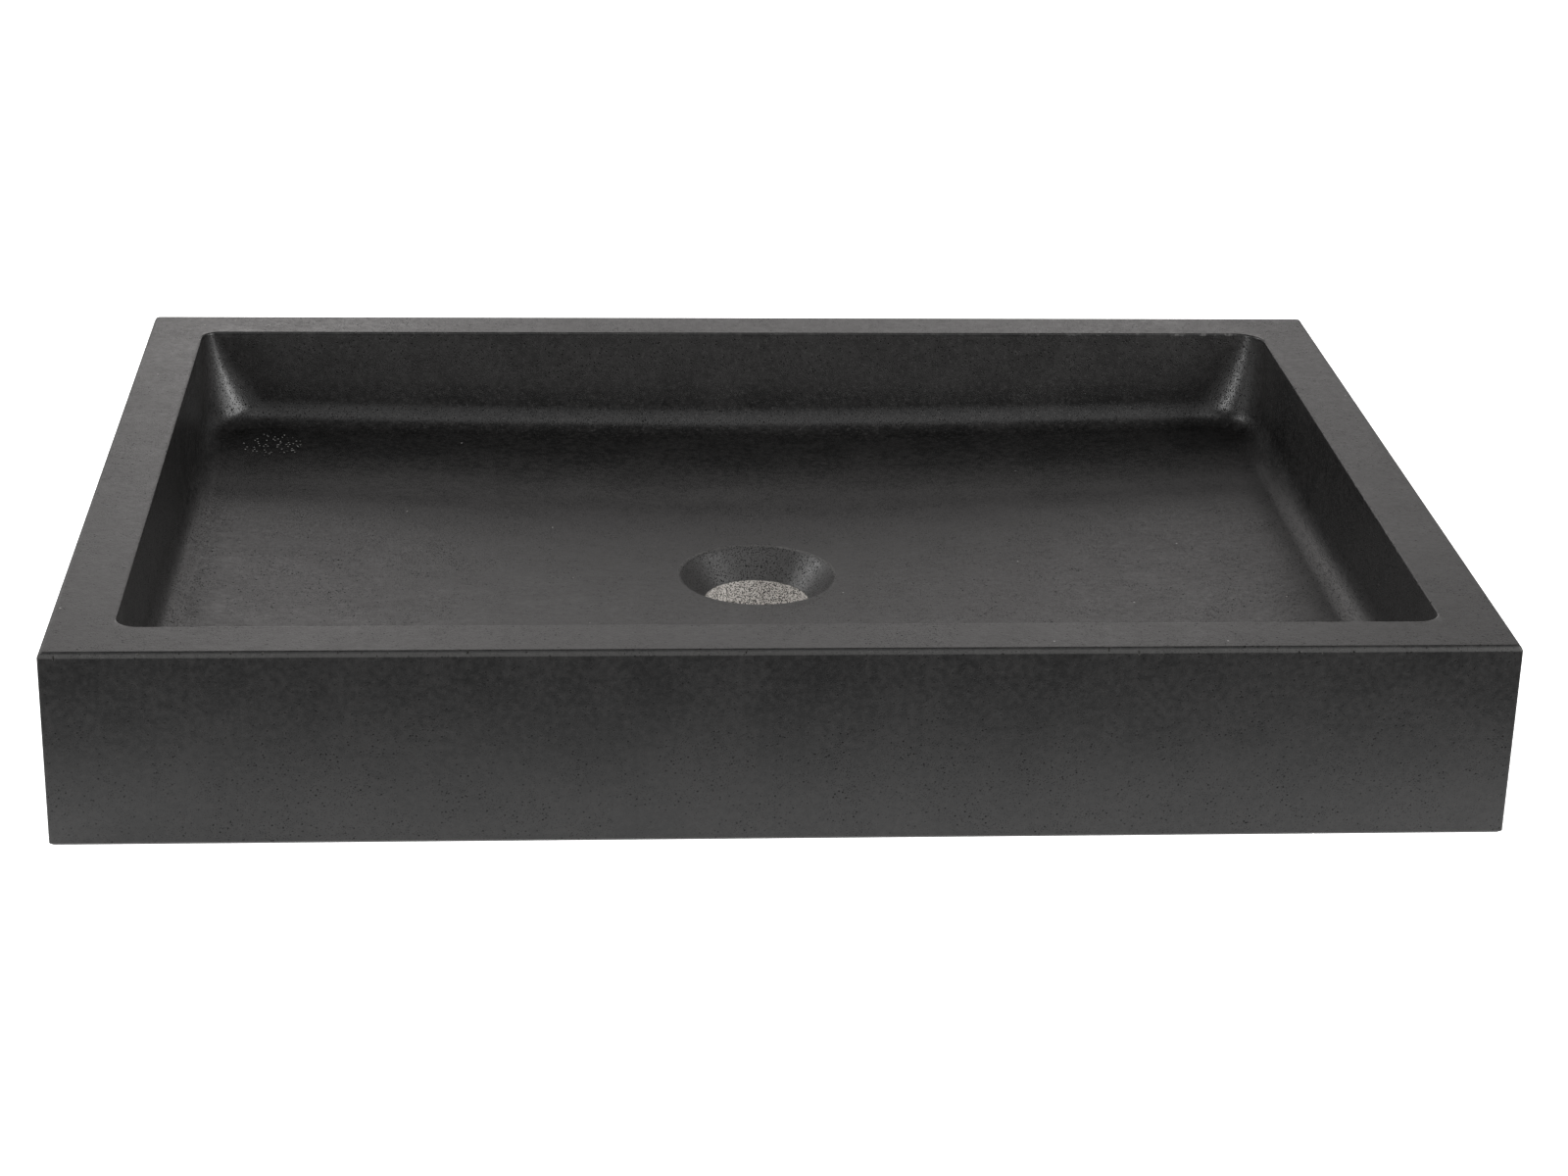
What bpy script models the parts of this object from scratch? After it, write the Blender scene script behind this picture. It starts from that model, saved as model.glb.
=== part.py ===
"""Rectangular wash basin, cut from one block of honed basalt.

Metres, +Z up. The origin is the middle of the underside, on the axis of the waste.
+X runs along the block, and the front is at -Y.
"""

from math import cos, hypot, pi, radians, sin

import bmesh
import bpy

# Block
LENGTH = 0.550
WIDTH = 0.400
HEIGHT = 0.078
TOP_ARRIS = 0.002
OTHER_ARRIS = 0.001

# Bowl
RIM = 0.025  # width of the flat rim on all four sides
WALL_LEAN = 0.0015  # how far a wall comes in on its way down to the cove
COVE = 0.012  # radius of the hollow between a wall and the floor
RIM_CORNER = 0.010  # plan radius of the bowl's corners at the rim
COVE_CORNER = 0.030  # the same where the cove starts
FALL = 0.034  # fall of the floor towards the waste, in metres a metre

# Waste, on the Z axis: a conical seat on a straight bore
MOUTH_RADIUS = 0.0335
MOUTH_HEIGHT = 0.0265  # stone under the floor where the seat starts
SEAT_DEPTH = 0.012
BORE_RADIUS = 0.0225

# How finely the round stretches are cut up
CORNER_STEPS = 8
SIDE_STEPS = 6
WALL_STEPS = 4
COVE_STEPS = 7
TURN_STEPS = 64

# How far a cutter runs past the face that it opens
CUT_PAST = 0.005


def clear_scene():
    for obj in list(bpy.data.objects):
        bpy.data.objects.remove(obj, do_unlink=True)


def new_collection(name):
    collection = bpy.data.collections.new(name)
    bpy.context.scene.collection.children.link(collection)
    return collection


def add_mesh(name, bm, collection):
    mesh = bpy.data.meshes.new(name)
    bm.to_mesh(mesh)
    bm.free()
    obj = bpy.data.objects.new(name, mesh)
    collection.objects.link(obj)
    return obj


def as_cutter(obj):
    obj.hide_render = True
    obj.display_type = "WIRE"
    obj.data.shade_smooth()
    obj.data.set_sharp_from_angle(angle=radians(35))


def honed_basalt():
    material = bpy.data.materials.new("honed_basalt")
    material.use_nodes = True
    shader = material.node_tree.nodes["Principled BSDF"]
    shader.inputs["Base Color"].default_value = (0.060, 0.058, 0.057, 1.0)
    shader.inputs["Roughness"].default_value = 0.5
    shader.inputs["Metallic"].default_value = 0.0
    return material


def make_block(collection):
    """The sawn block, with its top edges broken wider than the others."""
    bm = bmesh.new()
    bmesh.ops.create_cube(bm, size=1.0)
    bmesh.ops.scale(bm, vec=(LENGTH, WIDTH, HEIGHT), verts=bm.verts)
    bmesh.ops.translate(bm, vec=(0.0, 0.0, HEIGHT / 2), verts=bm.verts)
    weight = bm.edges.layers.float.new("bevel_weight_edge")
    for edge in bm.edges:
        on_top = all(vert.co.z > HEIGHT / 2 for vert in edge.verts)
        edge[weight] = 1.0 if on_top else OTHER_ARRIS / TOP_ARRIS
    block = add_mesh("basin", bm, collection)
    arris = block.modifiers.new("arrises", "BEVEL")
    arris.limit_method = "WEIGHT"
    arris.width = TOP_ARRIS
    arris.segments = 1
    return block


def outline(inset, corner):
    """Points round the bowl, anticlockwise: the rim's opening brought in by inset."""
    across = LENGTH / 2 - RIM - inset - corner
    along = WIDTH / 2 - RIM - inset - corner
    centres = [(across, along), (-across, along), (-across, -along), (across, -along)]
    points = []
    for quarter, (x, y) in enumerate(centres):
        for step in range(CORNER_STEPS + 1):
            angle = (quarter + step / CORNER_STEPS) * pi / 2
            points.append((x + corner * cos(angle), y + corner * sin(angle)))
        next_x, next_y = centres[(quarter + 1) % 4]
        end = (quarter + 1) * pi / 2
        start = points[-1]
        finish = (next_x + corner * cos(end), next_y + corner * sin(end))
        for step in range(1, SIDE_STEPS):
            share = step / SIDE_STEPS
            points.append(
                (
                    start[0] + share * (finish[0] - start[0]),
                    start[1] + share * (finish[1] - start[1]),
                )
            )
    return points


def floor_height(x, y):
    """The floor falls from all sides to the edge of the waste's seat."""
    return MOUTH_HEIGHT + FALL * (hypot(x, y) - MOUTH_RADIUS)


def bowl_rings():
    """Closed rings of points down the bowl, from above the rim to inside the waste."""
    foot = outline(WALL_LEAN + COVE, COVE_CORNER - COVE)
    foot_height = [floor_height(x, y) for x, y in foot]
    rings = [[(x, y, HEIGHT + CUT_PAST) for x, y in outline(0.0, RIM_CORNER)]]
    for step in range(WALL_STEPS):
        share = step / WALL_STEPS
        corner = RIM_CORNER + share * (COVE_CORNER - RIM_CORNER)
        ring = []
        for (x, y), low in zip(outline(share * WALL_LEAN, corner), foot_height):
            ring.append((x, y, HEIGHT + share * (low + COVE - HEIGHT)))
        rings.append(ring)
    for step in range(COVE_STEPS + 1):
        angle = step / COVE_STEPS * pi / 2
        reach = COVE * (1 - cos(angle))
        ring = []
        for (x, y), low in zip(outline(WALL_LEAN + reach, COVE_CORNER - reach), foot_height):
            ring.append((x, y, low + COVE * (1 - sin(angle))))
        rings.append(ring)
    inner = MOUTH_RADIUS / 2
    waste = []
    for x, y in foot:
        x, y = x * inner / hypot(x, y), y * inner / hypot(x, y)
        waste.append((x, y, floor_height(x, y)))
    rings.append(waste)
    return rings


def make_bowl_cutter(collection):
    """The hollow of the bowl, lofted from ring to ring and capped at both ends."""
    bm = bmesh.new()
    rings = [[bm.verts.new(point) for point in ring] for ring in bowl_rings()]
    for upper, lower in zip(rings, rings[1:]):
        for index in range(len(upper)):
            after = (index + 1) % len(upper)
            bm.faces.new((upper[index], lower[index], lower[after], upper[after]))
    bm.faces.new(rings[0])
    bm.faces.new(reversed(rings[-1]))
    bmesh.ops.recalc_face_normals(bm, faces=bm.faces)
    cutter = add_mesh("bowl_cutter", bm, collection)
    as_cutter(cutter)
    return cutter


def make_waste_cutter(collection):
    """The seat and the bore, turned about Z. The seat runs on up past the floor."""
    flare = (MOUTH_RADIUS - BORE_RADIUS) / SEAT_DEPTH
    top = MOUTH_HEIGHT + CUT_PAST
    profile = [
        (0.0, top),
        (MOUTH_RADIUS + flare * CUT_PAST, top),
        (BORE_RADIUS, MOUTH_HEIGHT - SEAT_DEPTH),
        (BORE_RADIUS, -CUT_PAST),
        (0.0, -CUT_PAST),
    ]
    bm = bmesh.new()
    verts = [bm.verts.new((radius, 0.0, height)) for radius, height in profile]
    for upper, lower in zip(verts, verts[1:]):
        bm.edges.new((upper, lower))
    cutter = add_mesh("waste_cutter", bm, collection)
    turn = cutter.modifiers.new("turn", "SCREW")
    turn.axis = "Z"
    turn.angle = 2 * pi
    turn.steps = TURN_STEPS
    turn.render_steps = TURN_STEPS
    turn.use_merge_vertices = True
    turn.merge_threshold = 0.00001
    as_cutter(cutter)
    return cutter


def cut(obj, cutter):
    boolean = obj.modifiers.new(cutter.name, "BOOLEAN")
    boolean.operation = "DIFFERENCE"
    boolean.solver = "EXACT"
    boolean.object = cutter


clear_scene()
parts = new_collection("basalt_wash_basin")
cutters = new_collection("cutters")
basin = make_block(parts)
basin.data.materials.append(honed_basalt())
cut(basin, make_bowl_cutter(cutters))
cut(basin, make_waste_cutter(cutters))
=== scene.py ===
from math import atan2, cos, hypot, pi, radians, sin

import bmesh
import bpy
from mathutils import Matrix, Vector, noise


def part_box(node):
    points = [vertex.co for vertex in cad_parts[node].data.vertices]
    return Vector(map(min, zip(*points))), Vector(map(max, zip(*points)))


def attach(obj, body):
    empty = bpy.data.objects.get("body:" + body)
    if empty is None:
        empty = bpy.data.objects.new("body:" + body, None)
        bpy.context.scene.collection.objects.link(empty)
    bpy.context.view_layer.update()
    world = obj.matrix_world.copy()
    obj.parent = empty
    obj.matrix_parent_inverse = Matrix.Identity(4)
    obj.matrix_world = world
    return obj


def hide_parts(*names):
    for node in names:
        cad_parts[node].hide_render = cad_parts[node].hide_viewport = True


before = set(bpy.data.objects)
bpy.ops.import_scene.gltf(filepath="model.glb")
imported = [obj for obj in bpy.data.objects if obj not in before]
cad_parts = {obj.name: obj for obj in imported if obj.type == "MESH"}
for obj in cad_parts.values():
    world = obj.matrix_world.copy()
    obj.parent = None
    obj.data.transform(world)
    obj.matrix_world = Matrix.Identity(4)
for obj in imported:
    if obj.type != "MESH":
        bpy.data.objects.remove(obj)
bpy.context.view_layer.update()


# Camera: a long lens held a little left of the middle and looking down over the
# front edge into the bowl. Its place is set by the direction it looks in.
CAMERA_TURN = radians(-4.36)
CAMERA_RISE = radians(22.43)
CAMERA_ROLL = radians(1.46)
CAMERA_DISTANCE = 1.438
CAMERA_RIGHT = 0.0122
CAMERA_UP = 0.0185

back = Vector((
    sin(CAMERA_TURN) * cos(CAMERA_RISE), -cos(CAMERA_TURN) * cos(CAMERA_RISE), sin(CAMERA_RISE)
))
level_right = (-back).cross(Vector((0, 0, 1))).normalized()
level_up = level_right.cross(-back)
right = level_right * cos(CAMERA_ROLL) + level_up * sin(CAMERA_ROLL)
up = level_up * cos(CAMERA_ROLL) - level_right * sin(CAMERA_ROLL)
camera_data = bpy.data.cameras.new("camera")
camera_data.sensor_width = 36.0
camera_data.lens = 76.25
camera = bpy.data.objects.new("camera", camera_data)
camera.matrix_world = Matrix.Translation(
    back * CAMERA_DISTANCE + right * CAMERA_RIGHT + up * CAMERA_UP
) @ Matrix((right, up, back)).transposed().to_4x4()
bpy.context.scene.collection.objects.link(camera)
bpy.context.scene.camera = camera


# Basin: one block of basalt, sawn and honed outside. The bowl is milled and rubbed
# smooth by hand, with coves at the foot of its walls and a floor that falls to the waste.
low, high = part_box("basin")
HALF_LENGTH = (high.x - low.x) / 2
HALF_WIDTH = (high.y - low.y) / 2
HEIGHT = high.z
TOP_ARRIS = 0.002
ARRIS_ROUND = 0.001464  # the arris is rounded into the rim and flat towards the side
OTHER_ARRIS = 0.001
RIM = 0.025
RIM_EASE = 0.0009
RIM_CORNERS = (0.013, 0.008, 0.009, 0.009)  # anticlockwise from the back right
WALL_LEAN = 0.0015
COVE = 0.012
COVE_CORNER = 0.030  # the bowl's corners where the cove starts
FALL = 0.034
MOUTH_RADIUS = 0.0335
MOUTH_HEIGHT = 0.0265
MOUTH_EASE = 0.0005
SEAT_DEPTH = 0.012
BORE_RADIUS = 0.0225
HAND_RUB = 0.00022  # how far the rubbed faces wander from true

# How finely the profile is cut up, from the outer sides over the rim to the bore
SIDE_STEPS = 4
ARRIS_STEPS = 4
EASE_STEPS = 4
WALL_STEPS = 16
COVE_STEPS = 18
FLOOR_STEPS = 40
MOUTH_STEPS = 3
SEAT_STEPS = 10
BORE_STEPS = 8


def floor_height(x, y):
    return MOUTH_HEIGHT + FALL * (hypot(x, y) - MOUTH_RADIUS)


def outline(inset, corners):
    """Points round the block, anticlockwise, brought in from its sides by inset."""
    signs = ((1, 1), (-1, 1), (-1, -1), (1, -1))
    centres = [
        Vector((along * (HALF_LENGTH - inset - corner), across * (HALF_WIDTH - inset - corner)))
        for (along, across), corner in zip(signs, corners)
    ]
    corner_steps, long_steps, short_steps = 20, 72, 52
    points = []
    for quarter in range(4):
        after = (quarter + 1) % 4
        for step in range(corner_steps + 1):
            angle = (quarter + step / corner_steps) * pi / 2
            points.append(centres[quarter] + corners[quarter] * Vector((cos(angle), sin(angle))))
        steps = short_steps if quarter % 2 else long_steps
        end = (quarter + 1) * pi / 2
        finish = centres[after] + corners[after] * Vector((cos(end), sin(end)))
        points += [points[-1].lerp(finish, step / steps) for step in range(1, steps)]
    return points


def level(points, height):
    return [(point.x, point.y, height) for point in points]


def circle(radius, height):
    """A ring round the waste whose points lie in line with those at the foot of the walls."""
    return [(*(point.normalized() * radius), height) for point in foot]


def wall_stations(start, knee, reach):
    """Places down a wall, which starts at the rim, and round its cove to the floor.

    The wall leans in more and more on its way down towards the knee, most of all in a
    corner, and the cove takes over at the same slope. reach is a cove's radius further in
    than the knee, where an upright cove would end."""
    travel = (knee - start).dot(reach - knee) / COVE
    wall_top = HEIGHT - RIM_EASE
    tilt = 0.0
    for _ in range(4):
        spot = knee.lerp(reach, cos(tilt))
        drop = wall_top - floor_height(*spot) - COVE * (1 - sin(tilt))
        tilt = atan2(1.5 * travel, drop)
    stations = []
    for step in range(1, WALL_STEPS + 1):
        share = step / WALL_STEPS
        place = start.lerp(knee, (share + share * share) / 2)
        stations.append((place.x, place.y, wall_top - share * drop))
    for step in range(1, COVE_STEPS + 1):
        angle = tilt + step / COVE_STEPS * (pi / 2 - tilt)
        place = knee.lerp(reach, cos(tilt) - cos(angle))
        stations.append((place.x, place.y, floor_height(*spot) + COVE * (1 - sin(angle))))
    return stations


def basin_rings():
    """(ring, share of hand rubbing) from the underside's edge, over the rim, to the bore."""
    edge = (OTHER_ARRIS,) * 4
    rings = [(level(outline(OTHER_ARRIS, edge), 0.0), 0.0)]
    for step in range(SIDE_STEPS + 1):
        height = OTHER_ARRIS + step / SIDE_STEPS * (HEIGHT - TOP_ARRIS - OTHER_ARRIS)
        rings.append((level(outline(0.0, edge), height), 0.0))
    for step in range(ARRIS_STEPS + 1):
        angle = radians(60 * (1 - step / ARRIS_STEPS))
        inset = TOP_ARRIS - ARRIS_ROUND * sin(angle)
        rings.append((level(outline(inset, edge), HEIGHT - ARRIS_ROUND * (1 - cos(angle))), 0.0))
    for step in range(EASE_STEPS + 1):
        angle = step / EASE_STEPS * pi / 2
        inset = RIM - RIM_EASE * (1 - sin(angle))
        ring = outline(inset, [corner + RIM - inset for corner in RIM_CORNERS])
        rings.append((level(ring, HEIGHT - RIM_EASE * (1 - cos(angle))), 0.3 * step / EASE_STEPS))
    for number, ring in enumerate(zip(*walls)):
        rings.append((ring, min(1.0, 0.3 + 0.1 * number)))
    lip = MOUTH_RADIUS + MOUTH_EASE
    for share in [step / FLOOR_STEPS for step in range(1, FLOOR_STEPS)] + [0.994, 1.0]:
        ring = []
        for point in foot:
            spot = point.lerp(point.normalized() * lip, share)
            ring.append((spot.x, spot.y, floor_height(*spot)))
        rings.append((ring, min(1.0, 4 * (1 - share))))
    flare = (MOUTH_RADIUS - BORE_RADIUS) / SEAT_DEPTH
    for step in range(1, MOUTH_STEPS + 1):
        drop = MOUTH_EASE * (step / MOUTH_STEPS) ** 2
        radius = lip - (MOUTH_EASE + drop * flare) * step / MOUTH_STEPS
        rings.append((circle(radius, MOUTH_HEIGHT - drop), 0.0))
    for step in range(1, SEAT_STEPS + 1):
        drop = MOUTH_EASE + step / SEAT_STEPS * (SEAT_DEPTH - MOUTH_EASE)
        rings.append((circle(MOUTH_RADIUS - drop * flare, MOUTH_HEIGHT - drop), 0.0))
    seat_bottom = MOUTH_HEIGHT - SEAT_DEPTH
    for step in range(1, BORE_STEPS + 1):
        height = seat_bottom + step / BORE_STEPS * (OTHER_ARRIS / 2 - seat_bottom)
        rings.append((circle(BORE_RADIUS, height), 0.0))
    rings.append((circle(BORE_RADIUS + OTHER_ARRIS / 2, 0.0), 0.0))
    return rings


walls = [
    wall_stations(*places)
    for places in zip(
        outline(RIM, RIM_CORNERS),
        outline(RIM + WALL_LEAN, (COVE_CORNER,) * 4),
        outline(RIM + WALL_LEAN + COVE, (COVE_CORNER - COVE,) * 4),
    )
]
foot = [Vector(wall[-1][:2]) for wall in walls]
bm = bmesh.new()
rings = []
rubbing = {}
for ring, share in basin_rings():
    verts = [bm.verts.new(point) for point in ring]
    rubbing.update((vert, share) for vert in verts)
    rings.append(verts)
for ring, inner in zip(rings, rings[1:] + rings[:1]):
    for index in range(len(ring)):
        after = (index + 1) % len(ring)
        bm.faces.new((ring[index], ring[after], inner[after], inner[index]))
bm.normal_update()
for vert, share in rubbing.items():
    if share:
        wander = noise.noise(vert.co * 22) + 0.4 * noise.noise(vert.co * 65)
        vert.co += vert.normal * wander * share * HAND_RUB
mesh = bpy.data.meshes.new("honed_block")
bm.to_mesh(mesh)
bm.free()
block = bpy.data.objects.new("honed_block", mesh)
bpy.context.scene.collection.objects.link(block)


# Chips: small flakes broken out along the edges, most of them on the top arris and
# round the bowl. They are cut out of the block along each edge's own path.
class Wire:
    """A socket in a node tree. Arithmetic on wires adds Math nodes to the tree."""

    def __init__(self, tree, socket=None):
        self.tree = tree
        self.socket = socket

    def add(self, kind, settings=None, inputs=None, output=0):
        """Adds a node: its settings first, then its inputs, each a value or another wire."""
        node = self.tree.nodes.new(kind)
        for name, value in (settings or {}).items():
            setattr(node, name, value)
        for name, value in (inputs or {}).items():
            if isinstance(value, Wire):
                self.tree.links.new(value.socket, node.inputs[name])
            else:
                node.inputs[name].default_value = value
        return Wire(self.tree, node.outputs[output])

    def math(self, operation, *values):
        return self.add("ShaderNodeMath", {"operation": operation}, dict(enumerate(values)))

    def __add__(self, other):
        return self.math("ADD", self, other)

    def __sub__(self, other):
        return self.math("SUBTRACT", self, other)

    def __rsub__(self, other):
        return self.math("SUBTRACT", other, self)

    def __mul__(self, other):
        return self.math("MULTIPLY", self, other)

    __radd__ = __add__
    __rmul__ = __mul__


def chipping():
    tree = bpy.data.node_groups.new("chipping", "GeometryNodeTree")
    sockets = {}
    for name, kind in (
        ("Block", "Geometry"), ("Length", "Float"), ("Width", "Float"), ("Height", "Float"),
        ("Arris", "Float"), ("Rim", "Float"), ("Corner", "Float"), ("Spacing", "Float"),
        ("Share", "Float"), ("Smallest", "Float"), ("Largest", "Float"), ("Seed", "Int"),
        ("Stone", "Material"),
    ):
        item = tree.interface.new_socket(name, in_out="INPUT", socket_type="NodeSocket" + kind)
        sockets[name] = item.identifier
    tree.interface.new_socket("Chipped", in_out="OUTPUT", socket_type="NodeSocketGeometry")
    given = tree.nodes.new("NodeGroupInput")
    block, length, width, height, arris, rim, corner, spacing, share, least, most, seed, stone = (
        Wire(tree, socket) for socket in given.outputs[:13]
    )

    def edge(inset, below, fillet=None):
        path = block.add(
            "GeometryNodeCurvePrimitiveQuadrilateral", {}, {0: length - 2 * inset, 1: width - 2 * inset}
        )
        if fillet:
            path = path.add(
                "GeometryNodeFilletCurve", {"mode": "POLY"}, {"Curve": path, "Count": 6, "Radius": fillet}
            )
        place = height.add("ShaderNodeCombineXYZ", {}, {"Z": height - below})
        return path.add("GeometryNodeTransform", {}, {"Geometry": path, "Translation": place})

    paths = block.add("GeometryNodeJoinGeometry")
    edges = (
        edge(0.35 * arris, 0.35 * arris),
        edge(0.0, arris),
        edge(0.0, height),
        edge(rim, 0.0, corner),
    )
    for path in edges:
        tree.links.new(path.socket, paths.socket.node.inputs[0])
    points = paths.add(
        "GeometryNodeResampleCurve", {"mode": "LENGTH"}, {"Curve": paths, "Length": spacing}
    )
    dropped = points.add(
        "FunctionNodeRandomValue", {"data_type": "BOOLEAN"}, {"Probability": 1 - share, "Seed": seed}, 3
    )
    points = points.add(
        "GeometryNodeDeleteGeometry", {"domain": "POINT"}, {"Geometry": points, "Selection": dropped}
    )
    reach = spacing * 0.45
    shift = points.add(
        "FunctionNodeRandomValue", {"data_type": "FLOAT_VECTOR"},
        {0: (-1, -1, -0.1), 1: (1, 1, 0.1), "Seed": seed + 1},
    )
    shift = shift.add("ShaderNodeVectorMath", {"operation": "SCALE"}, {0: shift, "Scale": reach * 0.25})
    points = points.add("GeometryNodeSetPosition", {}, {"Geometry": points, "Offset": shift})
    luck = points.add("FunctionNodeRandomValue", {"data_type": "FLOAT"}, {"Seed": seed + 2}, 1)
    size = least + (most - least) * luck * luck * luck * luck
    stretch = points.add(
        "FunctionNodeRandomValue", {"data_type": "FLOAT_VECTOR"},
        {0: (0.8, 0.5, 0.4), 1: (2.0, 1.0, 0.8), "Seed": seed + 3},
    )
    stretch = stretch.add("ShaderNodeVectorMath", {"operation": "SCALE"}, {0: stretch, "Scale": size})
    turn = points.add(
        "FunctionNodeRandomValue", {"data_type": "FLOAT_VECTOR"},
        {0: (0, 0, 0), 1: (2 * pi, 2 * pi, 2 * pi), "Seed": seed + 4},
    )
    flake = points.add("GeometryNodeMeshIcoSphere", {}, {"Radius": 1.0, "Subdivisions": 2})
    flakes = points.add(
        "GeometryNodeInstanceOnPoints", {},
        {"Points": points, "Instance": flake, "Rotation": turn, "Scale": stretch},
    )
    flakes = flakes.add("GeometryNodeRealizeInstances", {}, {0: flakes})
    chipped = block.add(
        "GeometryNodeMeshBoolean", {"operation": "DIFFERENCE", "solver": "EXACT"},
        {"Mesh 1": block, "Mesh 2": flakes, "Self Intersection": True},
    )
    whole = chipped.add("GeometryNodeRealizeInstances", {}, {0: chipped})
    dressed = whole.add("GeometryNodeSetMaterial", {}, {"Geometry": whole, "Material": stone})
    result = tree.nodes.new("NodeGroupOutput")
    tree.links.new(dressed.socket, result.inputs[0])
    return tree, sockets


# Stone: fine black basalt, honed and sealed so that it is nearly black with a soft
# sheen. Its pores stay open. The bore and the underside are raw, dry and pale.
SEALED_DARK = (0.0016, 0.0015, 0.0015, 1)
SEALED_LIGHT = (0.0095, 0.0089, 0.0087, 1)
# pale colour of the drier, less sealed seat, and of painted light high on the back wall
DRY_AND_PAINTED_LIGHT = (0.048, 0.046, 0.045, 1)
CRYSTAL = (0.058, 0.056, 0.055, 1)
# pale colour of wear on the edges, also used for painted highlights along them
WEAR_AND_HIGHLIGHT = (0.085, 0.083, 0.080, 1)
DUST = (0.330, 0.325, 0.315, 1)
BORED_DARK = (0.27, 0.256, 0.238, 1)
BORED_LIGHT = (0.57, 0.54, 0.505, 1)
SAWN_DARK = (0.11, 0.107, 0.103, 1)
SAWN_LIGHT = (0.23, 0.225, 0.215, 1)
RAW_PORE = (0.008, 0.0075, 0.007, 1)
SEALED_PORE = (0.0020, 0.0019, 0.0018, 1)
BROKEN = (0.070, 0.068, 0.065, 1)


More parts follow.
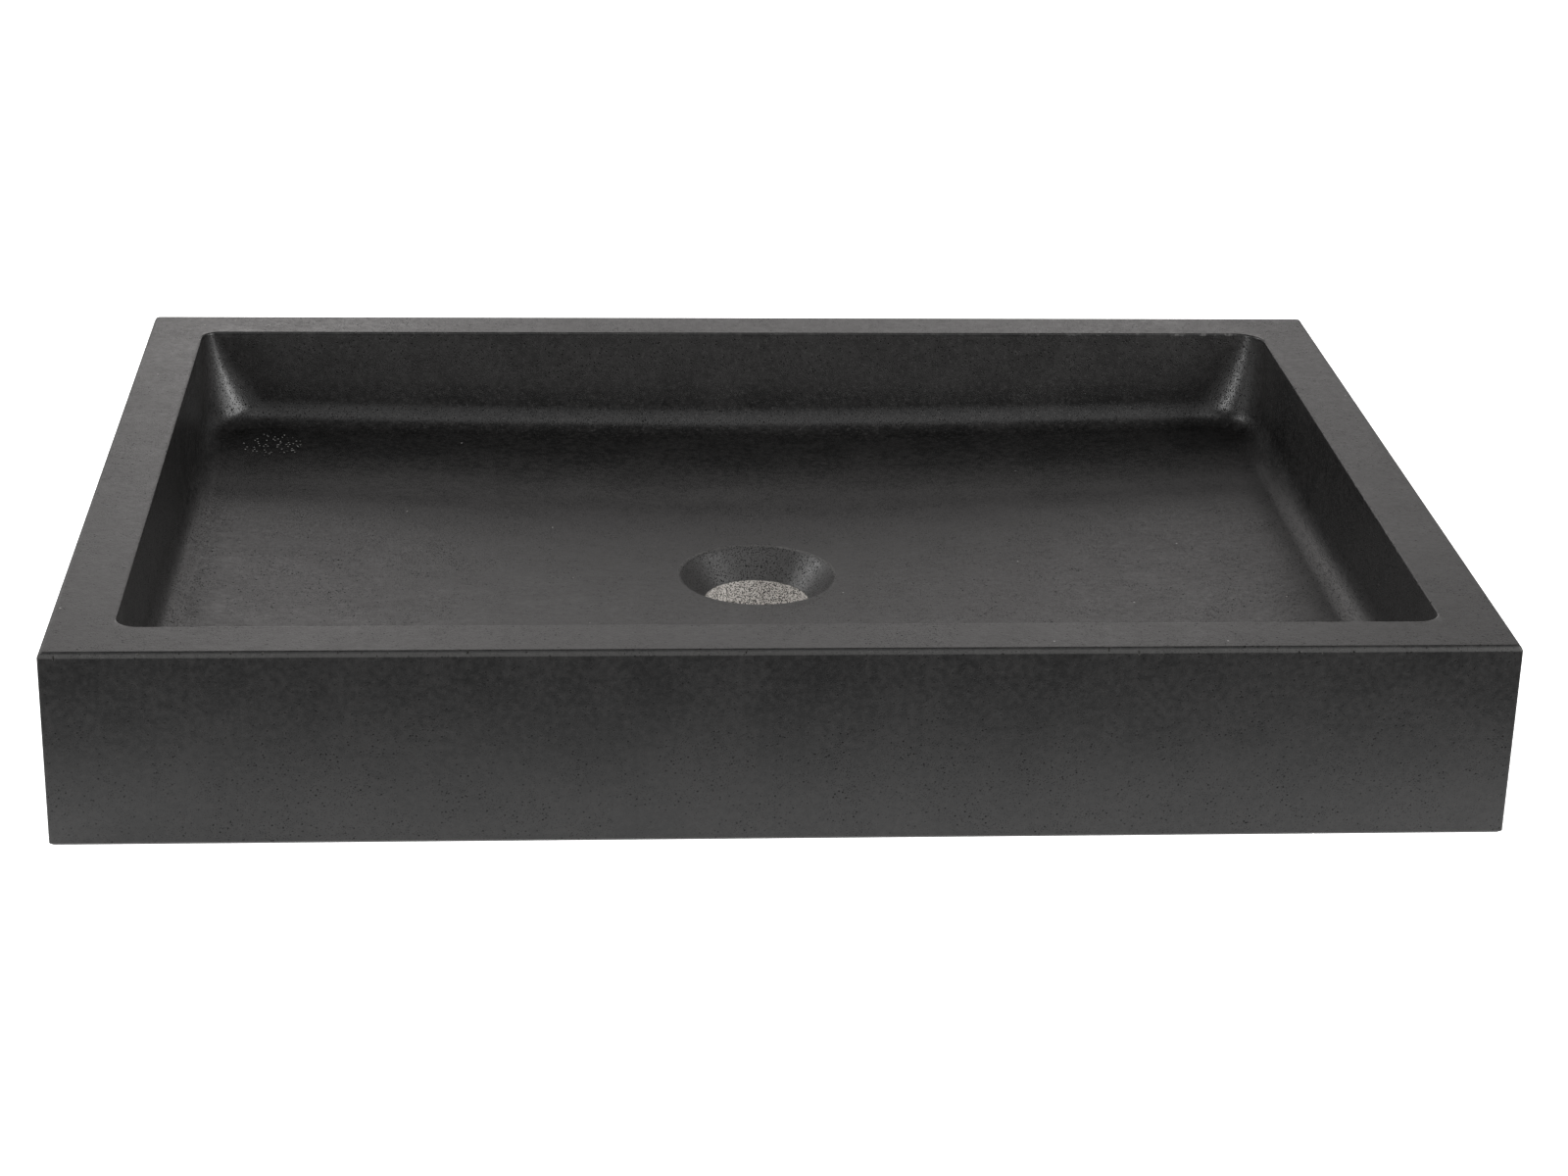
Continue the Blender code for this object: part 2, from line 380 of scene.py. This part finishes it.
def basalt():
    material = bpy.data.materials.new("honed_basalt")
    material.use_nodes = True
    tree = material.node_tree
    sealed = tree.nodes["Principled BSDF"]
    output = tree.nodes["Material Output"]
    bare = tree.nodes.new("ShaderNodeBsdfPrincipled")
    here = Wire(tree).add("ShaderNodeTexCoord", output=3)

    def cloud(scale, detail=2.0, roughness=0.5):
        return here.add(
            "ShaderNodeTexNoise", {},
            {"Vector": here, "Scale": scale, "Detail": detail, "Roughness": roughness},
        )

    def cells(scale, output, across=here, in_plan=False):
        settings = {"voronoi_dimensions": "2D" if in_plan else "3D"}
        return here.add("ShaderNodeTexVoronoi", settings, {"Vector": across, "Scale": scale}, output)

    def step(value, start, end):
        """0 below start, 1 past end, and smooth between them."""
        return here.add(
            "ShaderNodeMapRange", {"interpolation_type": "SMOOTHSTEP"},
            {"Value": value, "From Min": start, "From Max": end},
        )

    def fade(value, start, end):
        """1 below start, 0 past end, and smooth between them."""
        return 1 - step(value, start, end)

    def dots(scale, radius, luck, across=here, in_plan=False):
        """A dot in each cell that is lucky enough, soft between two radii."""
        round_dot = fade(cells(scale, 0, across, in_plan), *radius)
        return round_dot * step(cells(scale, 1, across, in_plan), *luck)

    def greater(first, second):
        return here.math("MAXIMUM", first, second)

    def smaller(first, second):
        return here.math("MINIMUM", first, second)

    def mixed(factor, first, second):
        return here.add(
            "ShaderNodeMix", {"data_type": "RGBA"}, {0: factor, 6: first, 7: second}, 2
        )

    def scratches(angle):
        drawn_out = here.add(
            "ShaderNodeMapping", {}, {"Vector": here, "Rotation": (0, 0, angle), "Scale": (1, 16, 1)}
        )
        return dots(9, (0.018, 0.032), (0.90, 0.93), drawn_out, True)

    # Where a point lies: down from the rim, in from the sides, out from the bowl's edge.
    x, y, z = (here.add("ShaderNodeSeparateXYZ", {}, {0: here}, index) for index in range(3))
    length_way, width_way = x.math("ABSOLUTE", x), y.math("ABSOLUTE", y)
    down = HEIGHT - z
    side = smaller(HALF_LENGTH - length_way, HALF_WIDTH - width_way)
    bowl = RIM - side
    from_axis = (x * x + y * y).math("SQRT", x * x + y * y)
    in_seat = fade(from_axis, MOUTH_RADIUS, MOUTH_RADIUS + 0.0012)
    wall = step(bowl, -0.024, -0.012) * fade(bowl, 0.0002, 0.0006) * step(down, 0.0006, 0.002)
    flat = greater(fade(down, 0.0002, 0.0005), fade(bowl, -0.020, -0.014))
    arris = fade(side, 0.0016, 0.0024) * fade(down, 0.0016, 0.0025)
    bowl_edge = step(bowl, -0.0004, 0.0) * fade(bowl, 0.0009, 0.0014) * fade(down, 0.0007, 0.0014)
    bowl_corner = step(length_way, 0.214, 0.230) * step(width_way, 0.139, 0.155)
    bowl_corner = bowl_corner * fade(bowl, 0.0, 0.0006)

    seat_bottom = MOUTH_HEIGHT - SEAT_DEPTH
    raw = fade(from_axis, BORE_RADIUS + 0.0001, BORE_RADIUS + 0.0009)
    raw = raw * fade(z, seat_bottom - 0.0004, seat_bottom + 0.0002)
    under = fade(z, 0.0002, 0.0005)
    below_arris = 0.866 * side + 0.5 * down
    chipped = step(below_arris, 0.00112, 0.0012) * fade(side, 0.003, 0.004)
    chipped = chipped * step(down, 0.00022, 0.0003) * step(side, 0.00005, 0.00012)
    chipped = chipped * fade(down, 0.004, 0.005)

    # What the stone is like there: cloudy, grained, pored, worn, scratched and dusty, with painted
    # highlights on its edges and painted light high on the back wall.
    patches = cloud(42, 4.0, 0.55)
    mottle = cloud(340, 2.0, 0.55)
    broad = cloud(9, 2.0)
    grain = cloud(780, 3.0, 0.6)
    spread = 0.30 * step(cloud(70, 3.0), 0.42, 0.62) + 0.22 * step(cloud(14, 2.0), 0.40, 0.65)
    spread = smaller(0.16 + spread + 0.45 * greater(wall, in_seat), 1.0)
    fine = dots(1500, (0.22, 0.44), (0.30, 0.50))
    wide = dots(520, (0.12, 0.26), (0.62, 0.70))
    pores = greater(fine * spread, wide * smaller(spread + 0.25, 1.0))
    pores = greater(pores, in_seat * dots(1150, (0.24, 0.34), (0.42, 0.50)))
    wide_raw_pores = fade(cells(850, 0), 0.24, 0.32)
    raw_pores = greater(dots(1700, (0.38, 0.46), (0.12, 0.16)), wide_raw_pores)
    speckle = cloud(900, 3.0, 0.6)
    # Flecks of wear on the bowl's edge, painted stronger on the right side as a painted highlight.
    bowl_rim_wear_highlight = bowl_edge * step(cloud(260, 3.0, 0.6), 0.52, 0.66) * (0.2 + 0.8 * step(x, 0.10, 0.22))
    # The mouth's edge carries a thin painted highlight all round, with paler flecks of wear and painted
    # highlight towards the back right.
    mouth = step(from_axis, MOUTH_RADIUS - 0.0007, MOUTH_RADIUS)
    mouth = mouth * fade(from_axis, MOUTH_RADIUS + 0.0005, MOUTH_RADIUS + 0.0010)
    mouth_edge_wear_highlight = mouth * (0.5 + 0.5 * step(x + y, 0.036, 0.044) * step(speckle, 0.42, 0.60))
    # The lower strip of the top arris is painted paler all along as a painted highlight, with flecks of
    # wear on it.
    arris_wear_highlight = arris * step(down, 0.0005, 0.0009) * (0.35 + 0.4 * step(speckle, 0.55, 0.80))
    wear_and_highlights = greater(greater(arris_wear_highlight, bowl_rim_wear_highlight), mouth_edge_wear_highlight)
    from_dust = here.add(
        "ShaderNodeVectorMath", {"operation": "DISTANCE"}, {0: here, 1: (-0.218, 0.143, 0.035)}, 1
    )
    dusty = fade(from_dust, 0.002, 0.026)
    specks = dots(140, (0.04, 0.07), (0.91, 0.94), here, True)
    dust = fade(cells(420, 0, here, True), 0.13, 0.20)
    dust = dust * step(cells(420, 1, here, True) * dusty, 0.32, 0.38)
    marks = greater(greater(scratches(0.35), scratches(-0.8)), greater(specks, dust)) * flat

    tone = patches * 0.35 + broad * 0.15 + mottle * 0.5
    honed = mixed(step(tone, 0.38, 0.62), SEALED_DARK, SEALED_LIGHT)
    # Painted light: the back wall is painted paler high up, fading out downwards. The seat is paler
    # because it is less sealed.
    back_wall_painted_light = wall * fade(down, 0.018, 0.040) * step(y, 0.12, 0.16) * 0.6
    dry_seat_and_painted_light = greater(in_seat, back_wall_painted_light)
    # the seat's own drier colour, and painted light high on the back wall
    honed = mixed(dry_seat_and_painted_light * 0.55, honed, DRY_AND_PAINTED_LIGHT)
    crystals = step(grain, 0.52, 0.74) * (0.12 + 0.32 * greater(wall, in_seat))
    honed = mixed(crystals, honed, CRYSTAL)
    # wear and painted highlights on the edges, in one pale colour
    honed = mixed(wear_and_highlights * 0.85, honed, WEAR_AND_HIGHLIGHT)
    honed = mixed(marks * 0.85, honed, DUST)
    tree.links.new(honed.socket, sealed.inputs["Base Color"])
    bored = mixed(grain, BORED_DARK, BORED_LIGHT)
    sawn = mixed(patches, SAWN_DARK, SAWN_LIGHT)
    unsealed = greater(raw, under)
    pale = mixed(raw_pores * 0.97, mixed(under, bored, sawn), RAW_PORE)
    inside = mixed(unsealed, SEALED_PORE, pale)
    inside = mixed(chipped, inside, BROKEN)
    tree.links.new(inside.socket, bare.inputs["Base Color"])

    uneven = 0.14 * (patches - 0.5) + 0.24 * (mottle - 0.5) + 0.10 * (grain - 0.5)
    sheen = 0.38 + uneven + 0.06 * dry_seat_and_painted_light - 0.07 * bowl_corner + 0.25 * greater(wear_and_highlights, marks)
    tree.links.new(sheen.socket, sealed.inputs["Roughness"])
    bare.inputs["Roughness"].default_value = 0.95
    bare.inputs["Specular IOR Level"].default_value = 0.2

    relief = 0.4 * grain + 0.7 * mottle - 0.9 * pores - 0.8 * unsealed * raw_pores
    bump = here.add("ShaderNodeBump", {}, {"Strength": 0.4, "Distance": 0.0002, "Height": relief})
    for shader in (sealed, bare):
        tree.links.new(bump.socket, shader.inputs["Normal"])
        shader.inputs["IOR"].default_value = 1.5
    bare_stone = greater(unsealed, greater(chipped, pores))
    coated, uncoated = (Wire(tree, shader.outputs[0]) for shader in (sealed, bare))
    stone = here.add("ShaderNodeMixShader", {}, {0: bare_stone, 1: coated, 2: uncoated})
    tree.links.new(stone.socket, output.inputs["Surface"])
    return material


chips, chip_inputs = chipping()
modifier = block.modifiers.new("chipping", "NODES")
modifier.node_group = chips
for name, value in (
    ("Length", 2 * HALF_LENGTH), ("Width", 2 * HALF_WIDTH), ("Height", HEIGHT), ("Arris", TOP_ARRIS),
    ("Rim", RIM), ("Corner", 0.010), ("Spacing", 0.003), ("Share", 0.28), ("Smallest", 0.00020),
    ("Largest", 0.0009), ("Seed", 4), ("Stone", basalt()),
):
    modifier[chip_inputs[name]] = value
made = bpy.data.meshes.new_from_object(block.evaluated_get(bpy.context.evaluated_depsgraph_get()))
block.modifiers.remove(modifier)
stone = bpy.data.objects.new("basalt_basin", made)
bpy.context.scene.collection.objects.link(stone)
bpy.data.objects.remove(block)
made.shade_smooth()
made.set_sharp_from_angle(angle=radians(28))
for polygon in made.polygons:  # the plane faces are shaded flat, right up to their chips
    polygon.use_smooth = max(map(abs, polygon.normal)) < 0.99999
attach(stone, "root")
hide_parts("basin")


# Studio: a plain white floor and soft lights: a low wide bank behind, one in front, one
# overhead, and smaller ones round the sides. For bounced light the floor glows in a painted
# pool of light round the basin and is painted dimmer beyond it, as painted shade, while the
# camera sees it evenly white. It lies a hair under the basin. From below it lets the eye through to the
# underside.
FLOOR_SIZE = 14.0
FLOOR_GAP = 0.0003
POOL_START = 0.02
POOL_END = 0.15
# strength of the painted pool of light that the floor glows with round the basin
POOL_GLOW = 0.75
PAPER = (0.86, 0.86, 0.86, 1)
# paper colour for painted shade on the floor beyond the pool, not seen by the camera
PAPER_IN_PAINTED_SHADE = (0.2, 0.2, 0.2, 1)
SKY = 0.13  # strength of the light from all round

bpy.ops.mesh.primitive_plane_add(size=FLOOR_SIZE, location=(0.0, 0.0, -FLOOR_GAP))
ground = bpy.context.object
ground.name = "ground"
paper = bpy.data.materials.new("pale_paper")
paper.use_nodes = True
sheet = paper.node_tree.nodes["Principled BSDF"]
sheet.inputs["Roughness"].default_value = 0.9
sheet.inputs["Emission Strength"].default_value = 1.0
floor_wire = Wire(paper.node_tree)
spot = floor_wire.add("ShaderNodeTexCoord", output=3)
spot_x, spot_y = (spot.add("ShaderNodeSeparateXYZ", {}, {0: spot}, index) for index in range(2))
gap_x = spot_x.math("MAXIMUM", spot_x.math("ABSOLUTE", spot_x) - HALF_LENGTH, 0.0)
gap_y = spot_y.math("MAXIMUM", spot_y.math("ABSOLUTE", spot_y) - HALF_WIDTH, 0.0)
gap = (gap_x * gap_x + gap_y * gap_y).math("SQRT", gap_x * gap_x + gap_y * gap_y)
# Painted pool of light: near the basin the floor glows and keeps its full colour. Further out it is
# painted dimmer, for all but camera rays.
near = 1 - gap.add(
    "ShaderNodeMapRange", {"interpolation_type": "SMOOTHSTEP"},
    {"Value": gap, "From Min": POOL_START, "From Max": POOL_END},
)
seen = floor_wire.add("ShaderNodeLightPath")
shade = near.math("MAXIMUM", near, seen)
paper_with_painted_shade = near.add("ShaderNodeMix", {"data_type": "RGBA"}, {0: shade, 6: PAPER_IN_PAINTED_SHADE, 7: PAPER}, 2)
glow = POOL_GLOW * near * (1 - seen) + seen
from_above = 1 - floor_wire.add("ShaderNodeNewGeometry", output=6)
paper.node_tree.links.new(from_above.socket, sheet.inputs["Alpha"])
paper.node_tree.links.new(paper_with_painted_shade.socket, sheet.inputs["Base Color"])
paper.node_tree.links.new(glow.socket, sheet.inputs["Emission Color"])
ground.data.materials.append(paper)


def soft_light(name, turn, rise, distance, size, strength, colour=(1.0, 1.0, 1.0)):
    """A rectangular soft light that faces the basin, turn degrees to the right of the back.

    Its strength is its brightness seen face on."""
    data = bpy.data.lights.new(name, "AREA")
    data.shape = "RECTANGLE"
    data.size, data.size_y = size
    data.energy = strength * pi * size[0] * size[1]
    data.color = colour
    light = bpy.data.objects.new(name, data)
    turn, rise = radians(turn), radians(rise)
    place = distance * Vector((sin(turn) * cos(rise), cos(turn) * cos(rise), sin(rise)))
    light.matrix_world = Matrix.Translation(place) @ place.to_track_quat("Z", "Y").to_matrix().to_4x4()
    light.visible_camera = False
    bpy.context.scene.collection.objects.link(light)


WARM = (1.0, 0.965, 0.955)
soft_light("behind_left", -25, 14, 2.4, (1.6, 1.0), 0.92, WARM)
soft_light("behind", 2, 14, 2.4, (1.2, 1.0), 1.0, WARM)
soft_light("behind_right", 25, 14, 2.4, (1.0, 1.0), 0.7, WARM)
soft_light("behind_high", -4, 42, 2.3, (2.2, 1.0), 0.85, WARM)
soft_light("right", 100, 34, 1.8, (0.9, 0.8), 4.8)
soft_light("right_front", 126, 24, 1.8, (0.5, 1.0), 10.5)
soft_light("left_front", -134, 18, 1.8, (0.5, 0.9), 9.5)
soft_light("left_back", -67, 34, 1.9, (0.8, 0.8), 6.5)
soft_light("left", -92, 18, 1.8, (0.7, 0.6), 1.0)
soft_light("front", 180, 14, 1.9, (1.5, 0.7), 0.7)
soft_light("front_high", 180, 42, 1.9, (1.2, 0.8), 0.9)
soft_light("overhead", 180, 68, 2.0, (1.4, 0.7), 1.5)

world = bpy.data.worlds.new("studio")
world.use_nodes = True
bpy.context.scene.world = world
sky = Wire(world.node_tree)
seen = sky.add("ShaderNodeLightPath")
strength = SKY + (1 - SKY) * seen
background = world.node_tree.nodes["Background"]
background.inputs["Color"].default_value = (1, 1, 1, 1)
world.node_tree.links.new(strength.socket, background.inputs["Strength"])
bpy.context.scene.view_settings.view_transform = "Standard"
